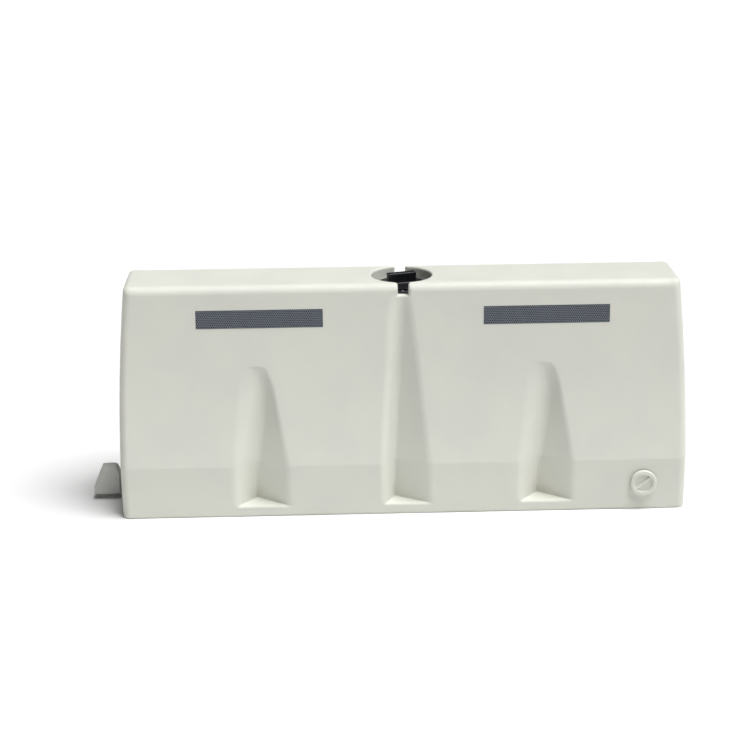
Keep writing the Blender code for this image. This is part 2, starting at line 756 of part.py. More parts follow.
def lug_levels():
    """Heights of the lug's head with its half width there: upright sides under a round top."""
    levels = [(height, LUG_HALF_WIDTH) for height in (LUG_FOOT, LUG_SHOULDER, LUG_NECK_TOP)]
    for index in range(7):
        angle = math.pi / 2 * index / 6
        height = LUG_TOP - LUG_TOP_ROUND * (1 - math.sin(angle))
        levels.append((height, LUG_HALF_WIDTH - LUG_TOP_ROUND * (1 - math.cos(angle))))
    return levels


def make_lug(material):
    """Round-topped head on a narrow neck, moulded in one with the flange that is bolted on."""
    wall = -LENGTH / 2
    rings = []
    for height, half_width in lug_levels():
        rise = max(0.0, (height - LUG_SHOULDER) / (LUG_TOP - LUG_SHOULDER))
        back_rise = max(0.0, (height - LUG_NECK_TOP) / (LUG_TOP - LUG_NECK_TOP))
        reach = LUG_REACH - LUG_SLANT * rise
        start = LUG_HEAD_START + LUG_BACK_SLANT * back_rise
        corner = min(LUG_EDGE, 0.8 * half_width)
        ring = rounded_rectangle((reach - start) / 2, half_width, corner, height, steps=3)
        centre = Vector((wall - (reach + start) / 2, 0, 0))
        rings.append([point + centre for point in ring])
    lug = add_object("coupling_lug", loft("coupling_lug", rings, smooth_angle=30), material)
    neck_low = (wall - LUG_HEAD_START - 10 * MM, -LUG_NECK_HALF_WIDTH, LUG_FOOT + MM)
    neck_high = (wall - 0.5 * LUG_FLANGE, LUG_NECK_HALF_WIDTH, LUG_NECK_TOP)
    neck = add_cutter("lug_neck", block("lug_neck", neck_low, neck_high))
    bottom, top = LUG_FLANGE_HEIGHTS
    outline = rounded_rectangle((top - bottom) / 2, LUG_FLANGE_HALF_WIDTH, 12 * MM, 0.0, steps=3)
    middle = (top + bottom) / 2
    plate_rings = []
    for stand_off in (GAP, LUG_FLANGE):
        plate_rings.append([Vector((wall - stand_off, point.y, middle + point.x)) for point in outline])
    plate = add_cutter("lug_plate", loft("lug_plate", plate_rings))
    join(lug, neck, plate)
    cut(lug, round_cutter("lug_holes", BOLT_SHANK + MM / 2, insert_lines(LUG_FLANGE), SMALL_STEPS))


def hexagon(half_flats, height, steps=SMALL_STEPS):
    """A hexagon drawn with twelve points, so that it can be lofted to a round shank."""
    points = []
    for index in range(steps):
        angle = 2 * math.pi * index / steps
        off_flat = (angle + math.pi / 6) % (math.pi / 3) - math.pi / 6
        reach = half_flats / math.cos(off_flat)
        points.append(Vector((reach * math.cos(angle), reach * math.sin(angle), height)))
    return points


def circle(radius, height, steps=SMALL_STEPS):
    angles = [2 * math.pi * index / steps for index in range(steps)]
    return [Vector((radius * math.cos(angle), radius * math.sin(angle), height)) for angle in angles]


def bolt_mesh():
    """Hexagon head bolt whose head sits on the plane z = 0."""
    rings = [
        circle(BOLT_SHANK - 0.6 * MM, -BOLT_LENGTH),
        circle(BOLT_SHANK, MM - BOLT_LENGTH),
        circle(BOLT_SHANK, 0),
        hexagon(BOLT_HEAD_HALF_FLATS, 0),
        hexagon(BOLT_HEAD_HALF_FLATS, BOLT_HEAD_HEIGHT - MM),
        circle(BOLT_HEAD_HALF_FLATS - 0.3 * MM, BOLT_HEAD_HEIGHT),
    ]
    return loft("lug_bolt", rings, smooth_angle=30)


def washer_mesh():
    inner = BOLT_SHANK + MM / 2
    profile = [(inner, 0), (WASHER_RADIUS, 0), (WASHER_RADIUS, WASHER_THICKNESS), (inner, WASHER_THICKNESS)]
    return turned("lug_washer", profile, SMALL_STEPS)


def insert_mesh():
    """Threaded insert with a waist that locks it in the moulded boss."""
    waist = INSERT_RADIUS - MM
    bore = BOLT_SHANK + 1.5 * GAP
    profile = [
        (bore, -INSERT_LENGTH),
        (INSERT_RADIUS, -INSERT_LENGTH),
        (INSERT_RADIUS, -0.65 * INSERT_LENGTH),
        (waist, -0.6 * INSERT_LENGTH),
        (waist, -0.4 * INSERT_LENGTH),
        (INSERT_RADIUS, -0.35 * INSERT_LENGTH),
        (INSERT_RADIUS, 0),
        (bore, 0),
    ]
    return turned("lug_insert", profile, SMALL_STEPS)


def make_lug_fasteners(steel, brass):
    """A bolt, a washer and a moulded-in insert at each corner of the lug's flange."""
    wall = -LENGTH / 2
    washer_seat = wall - LUG_FLANGE - GAP
    bolt_seat = washer_seat - WASHER_THICKNESS - GAP
    rows = (
        ("lug_bolt", bolt_mesh(), steel, bolt_seat),
        ("lug_washer", washer_mesh(), steel, washer_seat),
        ("lug_insert", insert_mesh(), brass, wall + GAP),
    )
    for name, mesh, material, seat in rows:
        for index, (across, height) in enumerate(insert_places(), start=1):
            piece = add_object(f"{name}_{index}", mesh, material)
            piece.location = (seat, across, height)
            piece.rotation_euler = (0, -math.pi / 2, 0)


def main():
    clear_scene()
    white = make_material("moulded_white", OFF_WHITE, 0.45)
    black = make_material("filler_black", BLACK, 0.40)
    grey = make_material("lug_grey", GREY, 0.60)
    steel = make_material("zinc_steel", SILVER, 0.35, 1.0)
    brass = make_material("insert_brass", BRASS, 0.35, 1.0)
    foil = make_material("reflective_foil", STRIP_GREY, 0.30)
    rubber = make_material("seal_rubber", RUBBER, 0.80)
    make_shell(white)
    make_ring_gasket(rubber)
    make_filler_ring(black)
    make_filler_cap(black)
    make_cap_seal(rubber)
    make_ring_screws(steel)
    make_drain(brass, rubber, white)
    make_strips(foil)
    make_lug(grey)
    make_lug_fasteners(steel, brass)


main()
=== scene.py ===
"""Looks of the water filled barrier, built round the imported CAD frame.

The tank's skin is a distance field with moulded fillets, turned into one fine mesh. The strips,
the cap, the plug and the lug are rebuilt with soft moulded edges. Every node gets a procedural
material. Units are metres, +Z is up, and the front of the barrier faces -Y.
"""
import math

import bpy
import numpy as np
from mathutils import Matrix, Vector


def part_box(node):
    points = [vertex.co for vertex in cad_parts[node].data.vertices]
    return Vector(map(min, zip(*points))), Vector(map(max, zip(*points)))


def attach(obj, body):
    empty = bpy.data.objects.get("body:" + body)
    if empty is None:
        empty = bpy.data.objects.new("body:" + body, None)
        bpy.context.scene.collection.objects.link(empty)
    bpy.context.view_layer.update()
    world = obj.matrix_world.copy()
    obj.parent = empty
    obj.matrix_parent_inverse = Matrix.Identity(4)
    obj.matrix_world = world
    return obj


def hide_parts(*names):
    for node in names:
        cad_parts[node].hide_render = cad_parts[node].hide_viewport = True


MM = 0.001

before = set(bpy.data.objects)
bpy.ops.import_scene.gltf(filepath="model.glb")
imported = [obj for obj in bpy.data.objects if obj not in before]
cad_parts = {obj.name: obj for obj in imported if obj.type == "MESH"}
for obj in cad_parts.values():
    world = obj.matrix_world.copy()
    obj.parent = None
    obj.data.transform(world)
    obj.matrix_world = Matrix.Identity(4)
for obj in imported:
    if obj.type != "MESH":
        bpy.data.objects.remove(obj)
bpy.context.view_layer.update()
SHELL_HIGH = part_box("shell")[1]

# Tank
HALF_LENGTH = SHELL_HIGH.x
HALF_DEPTH = SHELL_HIGH.y
HEIGHT = SHELL_HIGH.z
HALF_TOP_DEPTH = 132 * MM
END_DRAFT = 35 * MM
CREASE = 188 * MM
FACE_FLARE = 0.65
EDGE_RADIUS = 28 * MM
TOP_RADIUS = 30 * MM
TOP_END_RADIUS = 14 * MM
FOOT_RADIUS = 6 * MM

# Flutes: V channels in both long faces, with a ledge at the foot of each
LEDGE = 39 * MM
SIDE_FLUTE_X = 502 * MM
VALLEY_RADIUS_LOW = 3 * MM
VALLEY_RADIUS_HIGH = 22 * MM
LEDGE_RADIUS = 3 * MM
HEAD_RADIUS = 10 * MM
RIM_RADIUS_LEFT = 14 * MM
RIM_RADIUS_RIGHT = 6 * MM
LIP_RADIUS = 8 * MM
RIM_BLEND = 50 * MM                  # width over which the left rim's radius becomes the right's
LIP_BLEND = 20 * MM                  # height over which the ledge's lip becomes the rim
SIDE_FLUTE = {
    "apex": 541 * MM,
    "foot_x": 2 * MM,                # the channel leans sideways by this much, low and high
    "apex_x": -4 * MM,
    "half_width": 91 * MM,
    "tip": 4 * MM,                   # half width left at the apex
    "head": 35 * MM,                 # half width where the rounded head ends
    "head_share": 0.28,              # the head's share of the height from crease to apex
    "foot_depth": 85 * MM,           # how far the valley lies behind the face, low and high
    "apex_depth": 2 * MM,
    "deepening": 0.55,               # below 1: the channel is soon deep under its apex
    "valley_foot": -0.27,            # where the valley lies between the centre and the rim
    "valley_drift": 1.05,            # how much further right that is by the apex
    "valley_limit": 0.4,
}
CENTRE_FLUTE = {
    "apex": 798 * MM,
    "foot_x": 10 * MM,
    "apex_x": -6 * MM,
    "half_width": 81 * MM,
    "tip": 14 * MM,
    "head": 28 * MM,
    "head_share": 0.2,
    "foot_depth": 73 * MM,
    "apex_depth": 8 * MM,
    "deepening": 0.6,
    "valley_foot": -0.51,
    "valley_drift": 0.38,
    "valley_limit": 0.0,
}

# Well and slot
WELL_RADIUS = 106 * MM
WELL_FLOOR = 780 * MM
WELL_DRAFT = 2 * MM
SLOT_HALF_WIDTH = 18.5 * MM
SLOT_FLOOR = 783 * MM
RIM_OF_WELL = 7 * MM
SLOT_LIP = 6 * MM                    # how much softer the rim gets below the top face
SLOT_LIP_START = 12 * MM
SLOT_LIP_BLEND = 20 * MM
SLOT_CORNER = 8 * MM
WELL_FLOOR_RADIUS = 4 * MM
SLOT_FLOOR_RADIUS = 3 * MM

# Holes and the coupling socket
NECK_HOLE = 74.6 * MM
NECK_HOLE_FLOOR = 735 * MM
DRAIN_HOLE = 32.45 * MM
DRAIN_HOLE_DEPTH = 42 * MM
DRAIN_X = 847 * MM
DRAIN_Z = 102 * MM
SOCKET_HALF_WIDTH = 32 * MM
SOCKET_LENGTH = 110 * MM
SOCKET_TOP = 137 * MM
SOCKET_SHOULDER = 50 * MM
SOCKET_SLANT = 34 * MM
SOCKET_LIP = 8 * MM
MOUTH_HALF_WIDTH = 20 * MM
MOUTH_TOP = 108 * MM
MOUTH_OVERLAP = 5 * MM
SOCKET_RADIUS = 4 * MM
HOLE_RADIUS = 1 * MM                 # rounding of the filler and drain holes' edges

# Grid of the tank's skin: fine near the shapes, coarse on the plain stretches between them
FINE_STEP = 3 * MM
COARSE_STEP = 14 * MM
GRID_MARGIN = 6 * MM
FINE_ENDS = 958 * MM
FINE_FLUTES = (400 * MM, 600 * MM)
FINE_WELL = 128 * MM
FINE_DRAIN = 808 * MM
FINE_FACES = 94 * MM
FINE_FOOT = 52 * MM
FINE_CREASE = (176 * MM, 200 * MM)
FINE_APEX = (470 * MM, 580 * MM)
FINE_TOP = 728 * MM

# Reflective strips
STRIP_LENGTH = 440 * MM
STRIP_WIDTH = 64 * MM
STRIP_X = 499 * MM
STRIP_Z = 709 * MM
STRIP_THICKNESS = 0.5 * MM
STRIP_BOND = 0.1 * MM                # gap under the strip
STRIP_POINTS = (45, 9)               # mesh points along and across a strip
HONEYCOMB_PITCH = 7.3 * MM

# Filler cap
CAP_LOW, CAP_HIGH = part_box("filler_cap")
CAP_RADIUS = CAP_HIGH.x
CAP_DISC = 5 * MM
CAP_SPIGOT = 28 * MM
CAP_SEAT = CAP_LOW.z + CAP_SPIGOT
CAP_THREAD_RADIUS = 64 * MM
CAP_THREAD_DEPTH = 1.8 * MM
CAP_PITCH = 12 * MM
CAP_WALL = 5 * MM
BAR_LENGTH = 104 * MM
BAR_WIDTH = 24 * MM
BAR_TURN = math.radians(17.5)
BAR_CORNER = 4 * MM
BAR_EDGE = 3 * MM
CAP_EDGE = 1.6 * MM
OVERLAP = 2 * MM                     # how far joined shapes run into each other

# Drain plug, measured outwards from the front face
PLUG_RADIUS = 47 * MM
PLUG_SEAT = 3.1 * MM
PLUG_FACE = PLUG_SEAT + 12 * MM
PLUG_CUP = PLUG_FACE - 8 * MM
PLUG_CUP_RADIUS = 32 * MM
PLUG_SPIGOT = PLUG_SEAT - 26 * MM
PLUG_THREAD_RADIUS = 23 * MM
PLUG_THREAD_DEPTH = 1.0 * MM
PLUG_PITCH = 6 * MM
PLUG_BAR_WIDTH = 10 * MM
PLUG_BAR_TURN = math.radians(40)
PLUG_BAR_DROP = 2.5 * MM             # the bar ends this far below the plug's face
PLUG_WALL = 3 * MM
PLUG_EDGE = 5 * MM
PLUG_CUP_SLOPE = 0.25

# Coupling lug, measured outwards from the left end wall
LUG_FOOT = 22 * MM
LUG_SHOULDER = 50 * MM
LUG_TOP = 131 * MM
LUG_REACH = 118 * MM
LUG_SLANT = 34 * MM
LUG_HEAD_START = 25 * MM
LUG_BACK_SLANT = 12 * MM
LUG_HALF_WIDTH = 26 * MM
LUG_TOP_ROUND = 24 * MM
LUG_NECK_HALF_WIDTH = 14 * MM
LUG_NECK_TOP = 98 * MM
LUG_FLANGE = 6 * MM
LUG_FLANGE_HALF_WIDTH = 62 * MM
LUG_FLANGE_HEIGHTS = (22 * MM, 162 * MM)
LUG_BOLT_Y = 45 * MM
LUG_BOLT_HEIGHTS = (42 * MM, 142 * MM)
LUG_BOLT_HOLE = 5.5 * MM
LUG_EDGE = 4 * MM
LUG_FLANGE_CORNER = 12 * MM


# ---------------------------------------------------------------- distance field of the tank

def fillet_common(a, b, radius):
    """Distance to the solid that two solids share, with the edge between them rounded."""
    outside = np.sqrt(np.maximum(a + radius, 0) ** 2 + np.maximum(b + radius, 0) ** 2)
    return np.minimum(-radius, np.maximum(a, b)) + outside


def fillet_join(a, b, radius):
    return -fillet_common(-a, -b, radius)


def fillet_cut(a, b, radius):
    return fillet_common(a, -b, radius)


def half_depth_at(z):
    drop = 1 - np.clip((z - CREASE) / (HEIGHT - CREASE), 0, None)
    flare = (1 - FACE_FLARE) * drop + FACE_FLARE * drop * drop
    return HALF_TOP_DEPTH + (HALF_DEPTH - HALF_TOP_DEPTH) * flare


def half_length_at(z):
    rise = np.clip((z - CREASE) / (HEIGHT - CREASE), 0, None)
    return HALF_LENGTH - END_DRAFT * rise ** 2


def slope_of(function, z):
    step = 0.1 * MM
    return (function(z + step) - function(z - step)) / (2 * step)


def block_distance(x, y, z):
    """The tank before its flutes, well and holes are cut."""
    side = (np.abs(y) - half_depth_at(z)) / np.sqrt(1 + slope_of(half_depth_at, z) ** 2)
    end = (np.abs(x) - half_length_at(z)) / np.sqrt(1 + slope_of(half_length_at, z) ** 2)
    upright = fillet_common(side, end, EDGE_RADIUS)
    towards_end = np.clip(0.5 + (end - side) / (2 * EDGE_RADIUS), 0, 1)
    top_radius = TOP_RADIUS + (TOP_END_RADIUS - TOP_RADIUS) * towards_end
    body = fillet_common(upright, z - HEIGHT, top_radius)
    return fillet_common(body, -z, FOOT_RADIUS)


def share_along(flute, z):
    return np.clip((z - LEDGE) / (flute["apex"] - LEDGE), 0, 1)


def flute_section(flute, z):
    """Half width at the face, depth of the valley and the valley's sideways place, at a height."""
    below_apex = 1 - np.clip((z - CREASE) / (flute["apex"] - CREASE), 0, 1)
    into_head = 1 - np.clip(below_apex / flute["head_share"], 0, 1)
    half = flute["tip"] + (flute["head"] - flute["tip"]) * np.sqrt(1 - into_head ** 2)
    half = half + (flute["half_width"] - flute["head"]) * below_apex
    along = share_along(flute, z)
    opening = np.clip(1 - along, 1e-4, 1) ** flute["deepening"]
    depth = flute["apex_depth"] + (flute["foot_depth"] - flute["apex_depth"]) * opening
    drift = np.minimum(flute["valley_limit"],
                       flute["valley_foot"] + flute["valley_drift"] * along ** 2)
    return half, depth, drift * half


def flute_wall(flute, direction, across, outward, z):
    """Distance from one wall of the V, negative inside the channel. direction -1 is the left."""
    def slope(height):
        half, depth, valley = flute_section(flute, height)
        return depth / (half - direction * valley)

    def rim(height):
        return flute_section(flute, height)[0]

    steepness = slope(z)
    inset = rim(z) - direction * across
    wall = half_depth_at(z) - outward - steepness * inset
    change = slope_of(half_depth_at, z) - slope_of(slope, z) * inset - steepness * slope_of(rim, z)
    return wall / np.sqrt(1 + steepness ** 2 + change ** 2)


def flute_distance(flute, centre, across, outward, z):
    lean = flute["foot_x"] + (flute["apex_x"] - flute["foot_x"]) * share_along(flute, z)
    left = flute_wall(flute, -1, across - centre - lean, outward, z)
    right = flute_wall(flute, 1, across - centre - lean, outward, z)
    softness = share_along(flute, z) ** 0.8
    valley_radius = VALLEY_RADIUS_LOW + (VALLEY_RADIUS_HIGH - VALLEY_RADIUS_LOW) * softness
    channel = fillet_common(left, right, valley_radius)
    channel = fillet_common(channel, z - flute["apex"], HEAD_RADIUS)
    return fillet_common(channel, LEDGE - z, LEDGE_RADIUS)


def rim_radius(centre, across, z):
    """The channel's left rim is moulded softer than its right rim, and so is the ledge's lip."""
    towards_right = np.clip(0.5 + (across - centre) / RIM_BLEND, 0, 1)
    radius = RIM_RADIUS_LEFT + (RIM_RADIUS_RIGHT - RIM_RADIUS_LEFT) * towards_right
    above_lip = np.clip((z - LEDGE) / LIP_BLEND, 0, 1)
    return LIP_RADIUS + (radius - LIP_RADIUS) * above_lip


def cut_flute(body, flute, centre, across, outward, z):
    channel = flute_distance(flute, centre, across, outward, z)
    return fillet_cut(body, channel, rim_radius(centre, across, z))


def well_distance(x, y, z):
    """The round well with the slot that crosses it and the filler hole in its floor."""
    radial = np.sqrt(x ** 2 + y ** 2)
    wall = WELL_RADIUS - WELL_DRAFT * (HEIGHT - z) / (HEIGHT - WELL_FLOOR)
    well = fillet_common(radial - wall, WELL_FLOOR - z, WELL_FLOOR_RADIUS)
    slot = fillet_common(np.abs(x) - SLOT_HALF_WIDTH, SLOT_FLOOR - z, SLOT_FLOOR_RADIUS)
    return fillet_join(well, slot + 0 * y, SLOT_CORNER)


def hole_distance(x, y, z):
    neck = np.maximum(np.sqrt(x ** 2 + y ** 2) - NECK_HOLE, NECK_HOLE_FLOOR - z)
    drain = np.sqrt((x - DRAIN_X) ** 2 + (z - DRAIN_Z) ** 2) - DRAIN_HOLE
    drain = np.maximum(drain, y + HALF_DEPTH - DRAIN_HOLE_DEPTH)
    return np.minimum(neck, drain)


def socket_distance(x, y, z):
    inward = HALF_LENGTH - x
    lean = np.clip((z - SOCKET_SHOULDER) / (SOCKET_TOP - SOCKET_SHOULDER), 0, None)
    far = inward - (SOCKET_LENGTH - SOCKET_SLANT * lean)
    pocket = np.maximum(far, SOCKET_LIP - inward)
    pocket = fillet_common(pocket, np.abs(y) - SOCKET_HALF_WIDTH, SOCKET_RADIUS)
    pocket = fillet_common(pocket, z - SOCKET_TOP, SOCKET_RADIUS)
    mouth = np.maximum(np.abs(y) - MOUTH_HALF_WIDTH, z - MOUTH_TOP)
    mouth = np.maximum(mouth, inward - SOCKET_LIP - MOUTH_OVERLAP)
    return np.minimum(pocket, mouth)


def tank_distance(x, y, z):
    """Signed distance from the tank's skin, negative inside. The back is the front turned round."""
    body = block_distance(x, y, z)
    across = np.where(y < 0, x, -x)
    outward = np.abs(y)
    for centre in (-SIDE_FLUTE_X, SIDE_FLUTE_X):
        body = cut_flute(body, SIDE_FLUTE, centre, across, outward, z)
    body = cut_flute(body, CENTRE_FLUTE, 0.0, across, outward, z)
    lip = np.clip((HEIGHT - SLOT_LIP_START - z) / SLOT_LIP_BLEND, 0, 1)
    body = fillet_cut(body, well_distance(x, y, z), RIM_OF_WELL + SLOT_LIP * lip)
    body = fillet_cut(body, hole_distance(x, y, z), HOLE_RADIUS)
    return fillet_cut(body, socket_distance(x, y, z), SOCKET_RADIUS)


# ---------------------------------------------------------------- mesh from a distance field

def graded_axis(spans):
    """Grid lines along one axis from (start, end, step) spans that follow each other."""
    lines = [np.array([spans[0][0]])]
    for start, end, step in spans:
        count = max(1, round((end - start) / step))
        lines.append(np.linspace(start, end, count + 1)[1:])
    return np.concatenate(lines)


def surface_net(axes, field):
    """One vertex for each grid cell that the surface crosses, and one quad for each crossed edge."""
    points, cells, quads = [], [], []
    shape = field.shape
    for axis in range(3):
        low = np.take(field, range(shape[axis] - 1), axis)
        high = np.take(field, range(1, shape[axis]), axis)
        crossed = np.nonzero((low < 0) != (high < 0))
        start, end = low[crossed], high[crossed]
        share = start / (start - end)
        place = np.stack([axes[k][crossed[k]] for k in range(3)], axis=1)
        length = np.diff(axes[axis])[crossed[axis]]
        place[:, axis] += share * length
        second, third = (axis + 1) % 3, (axis + 2) % 3
        corners = []
        for back_second, back_third in ((0, 0), (1, 0), (1, 1), (0, 1)):
            cell = [index.copy() for index in crossed]
            cell[second] -= back_second
            cell[third] -= back_third
            corners.append(np.ravel_multi_index(cell, shape))
        corners = np.stack(corners, axis=1)
        corners[start > 0] = corners[start > 0][:, ::-1]
        quads.append(corners)
        points.append(np.repeat(place, 4, axis=0))
        cells.append(np.stack(corners, axis=0).reshape(-1))
    quads = np.concatenate(quads)
    names, index = np.unique(np.concatenate(cells), return_inverse=True)
    points = np.concatenate(points)
    count = np.bincount(index)
    vertices = np.stack([np.bincount(index, points[:, k]) / count for k in range(3)], axis=1)
    return vertices, np.searchsorted(names, quads)


def settle(vertices, distance, reach, rounds=3):
    """Moves the vertices along the field's gradient onto the surface."""
    step = 0.2 * MM
    for _ in range(rounds):
        x, y, z = vertices.T
        value = distance(x, y, z)
        gradient = np.stack([
            distance(x + step, y, z) - distance(x - step, y, z),
            distance(x, y + step, z) - distance(x, y - step, z),
            distance(x, y, z + step) - distance(x, y, z - step),
        ], axis=1) / (2 * step)
        size = np.maximum((gradient ** 2).sum(axis=1), 0.25)
        move = -(value / size)[:, None] * gradient
        length = np.sqrt((move ** 2).sum(axis=1))
        move *= np.minimum(1, reach / np.maximum(length, 1e-9))[:, None]
        vertices = vertices + move
    return vertices


def add_mesh(name, vertices, faces, smooth_angle=None):
    mesh = bpy.data.meshes.new(name)
    mesh.from_pydata([tuple(v) for v in vertices], [], [tuple(f) for f in faces])
    mesh.shade_smooth()
    if smooth_angle is not None:
        mesh.set_sharp_from_angle(angle=math.radians(smooth_angle))
    return add_object(name, mesh)


def add_object(name, data):
    item = bpy.data.objects.new(name, data)
    bpy.context.scene.collection.objects.link(item)
    return item


def tank_axes():
    fine = FINE_STEP
    coarse = COARSE_STEP
    end = HALF_LENGTH + GRID_MARGIN
    near, far = FINE_FLUTES
    x_spans = [
        (-end, -FINE_ENDS, fine), (-FINE_ENDS, -far, coarse), (-far, -near, fine),
        (-near, -FINE_WELL, coarse), (-FINE_WELL, FINE_WELL, fine), (FINE_WELL, near, coarse),
        (near, far, fine), (far, FINE_DRAIN, coarse), (FINE_DRAIN, end, fine),
    ]
    side = HALF_DEPTH + GRID_MARGIN
    y_spans = [(-side, -FINE_FACES, fine), (-FINE_FACES, FINE_FACES, 2 * fine), (FINE_FACES, side, fine)]
    crease_low, crease_high = FINE_CREASE
    apex_low, apex_high = FINE_APEX
    z_spans = [
        (-4 * MM, FINE_FOOT, fine), (FINE_FOOT, crease_low, 2 * fine), (crease_low, crease_high, fine),
        (crease_high, apex_low, 2.5 * fine), (apex_low, apex_high, 1.3 * fine),
        (apex_high, FINE_TOP, 2.5 * fine), (FINE_TOP, HEIGHT + 5 * MM, fine),
    ]
    return [graded_axis(spans) for spans in (x_spans, y_spans, z_spans)]


def mesh_from_field(name, axes, distance, smooth_angle=None):
    x, y, z = axes[0][:, None, None], axes[1][None, :, None], axes[2][None, None, :]
    vertices, quads = surface_net(axes, distance(x, y, z))
    vertices = settle(vertices, distance, reach=3 * MM)
    return add_mesh(name, vertices, quads, smooth_angle)


def box_axes(low, high, step):
    """Even grid over a box with a free margin of two steps all round."""
    return [graded_axis([(a - 2 * step, b + 2 * step, step)]) for a, b in zip(low, high)]


def take_place(item, body, slot, *nodes):
    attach(item, body)
    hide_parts(*nodes)
    return item


def make_tank_skin():
    skin = mesh_from_field("tank_skin", tank_axes(), tank_distance)
    return take_place(skin, "tank", "moulded_white", "shell")


# ---------------------------------------------------------------- strips, cap, plug and lug

def make_strip(name, side, middle):
    """Thin sheet that follows the face. side is -1 for the front and 1 for the rear."""
    across = np.linspace(middle - STRIP_LENGTH / 2, middle + STRIP_LENGTH / 2, STRIP_POINTS[0])
    up = np.linspace(STRIP_Z - STRIP_WIDTH / 2, STRIP_Z + STRIP_WIDTH / 2, STRIP_POINTS[1])
    layers = (STRIP_BOND, STRIP_THICKNESS)
    vertices = [(x, side * (half_depth_at(z) + layer), z) for layer in layers for x in across for z in up]
    rows, columns = len(across), len(up)

    def corner(layer, i, j):
        return (layer * rows + i) * columns + j

    faces = []
    for i in range(rows - 1):
        for j in range(columns - 1):
            ring = ((i, j), (i + 1, j), (i + 1, j + 1), (i, j + 1))
            faces.append([corner(1, *place) for place in ring])
            faces.append([corner(0, *place) for place in reversed(ring)])
    border = [(i, 0) for i in range(rows)] + [(rows - 1, j) for j in range(1, columns)]
    border += [(i, columns - 1) for i in range(rows - 2, -1, -1)]
    border += [(0, j) for j in range(columns - 2, 0, -1)]
    for first, second in zip(border, border[1:] + border[:1]):
        faces.append([corner(0, *first), corner(0, *second), corner(1, *second), corner(1, *first)])
    if side > 0:
        faces = [face[::-1] for face in faces]
    return add_mesh(name, vertices, faces, smooth_angle=40)


def make_strips():
    strips = []
    for side, face in ((-1, "front"), (1, "rear")):
        for direction, end in ((-1, "left"), (1, "right")):
            strip = make_strip(f"{face}_foil_{end}", side, direction * STRIP_X)
            strips.append(take_place(strip, "tank", "reflective_foil", f"{face}_strip_{end}"))
    return strips


def threaded_wall(radial, angle, height, radius, depth, pitch, low, high):
    """Distance from a threaded rod's side. The thread fades out near both ends."""
    strength = np.clip(np.minimum(height - low, high - height) / (0.6 * pitch), 0, 1)
    wave = np.cos(2 * np.pi * height / pitch - angle)
    return radial - (radius - depth * (1 - strength) + depth * strength * wave)


def bar_distance(x, y, turn, length, width, corner):
    along = x * math.cos(turn) + y * math.sin(turn)
    across = y * math.cos(turn) - x * math.sin(turn)
    return fillet_common(np.abs(along) - length / 2, np.abs(across) - width / 2, corner)


def cap_distance(x, y, z):
    radial, angle = np.sqrt(x ** 2 + y ** 2), np.arctan2(y, x)
    disc = fillet_common(radial - CAP_RADIUS, z - CAP_SEAT - CAP_DISC, CAP_EDGE)
    disc = np.maximum(disc, CAP_SEAT - z)
    bar = bar_distance(x, y, BAR_TURN, BAR_LENGTH, BAR_WIDTH, BAR_CORNER)
    bar = fillet_common(bar, z - CAP_HIGH.z, BAR_EDGE)
    bar = np.maximum(bar, CAP_SEAT + OVERLAP - z)
    body = fillet_join(disc, bar, BAR_EDGE)
    spigot = threaded_wall(radial, angle, z, CAP_THREAD_RADIUS, CAP_THREAD_DEPTH, CAP_PITCH,
                           CAP_LOW.z, CAP_SEAT)
    spigot = np.maximum(spigot, CAP_THREAD_RADIUS - CAP_THREAD_DEPTH - CAP_WALL - radial)
    spigot = np.maximum(spigot, np.maximum(CAP_LOW.z - z, z - CAP_SEAT - OVERLAP))
    return np.minimum(body, spigot)


def make_cap():
    step = 1.5 * MM
    axes = box_axes(CAP_LOW, CAP_HIGH, step)
    cap = mesh_from_field("soft_cap", axes, cap_distance, smooth_angle=50)
    return take_place(cap, "filler_cap", "filler_black", "filler_cap")


def plug_distance(x, y, z):
    """The plug's axis points out of the front face."""
    out = -(y + HALF_DEPTH)
    radial = np.sqrt((x - DRAIN_X) ** 2 + (z - DRAIN_Z) ** 2)
    angle = np.arctan2(z - DRAIN_Z, x - DRAIN_X)
    flange = fillet_common(radial - PLUG_RADIUS, out - PLUG_FACE, PLUG_EDGE)
    flange = np.maximum(flange, PLUG_SEAT - out)
    cup_wall = radial - PLUG_CUP_RADIUS - PLUG_CUP_SLOPE * (out - PLUG_CUP)
    cup = fillet_common(cup_wall, PLUG_CUP - out, 3 * MM)
    body = fillet_cut(flange, cup, 2 * MM)
    bar = bar_distance(x - DRAIN_X, z - DRAIN_Z, PLUG_BAR_TURN, 2 * PLUG_CUP_RADIUS + 4 * MM,
                       PLUG_BAR_WIDTH, 1 * MM)
    bar = fillet_common(bar, out - PLUG_FACE + PLUG_BAR_DROP, 2 * MM)
    bar = np.maximum(bar, PLUG_SEAT + 1 * MM - out)
    body = fillet_join(body, bar, 2 * MM)
    spigot = threaded_wall(radial, angle, out, PLUG_THREAD_RADIUS, PLUG_THREAD_DEPTH, PLUG_PITCH,
                           PLUG_SPIGOT, PLUG_SEAT)
    spigot = np.maximum(spigot, PLUG_THREAD_RADIUS - PLUG_THREAD_DEPTH - PLUG_WALL - radial)
    spigot = np.maximum(spigot, np.maximum(PLUG_SPIGOT - out, out - PLUG_SEAT - 1 * MM))
    return np.minimum(body, spigot)


def make_plug():
    step = 0.8 * MM
    low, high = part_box("drain_plug")
    plug = mesh_from_field("soft_plug", box_axes(low, high, step), plug_distance, smooth_angle=50)
    return take_place(plug, "drain_plug", "moulded_white", "drain_plug")


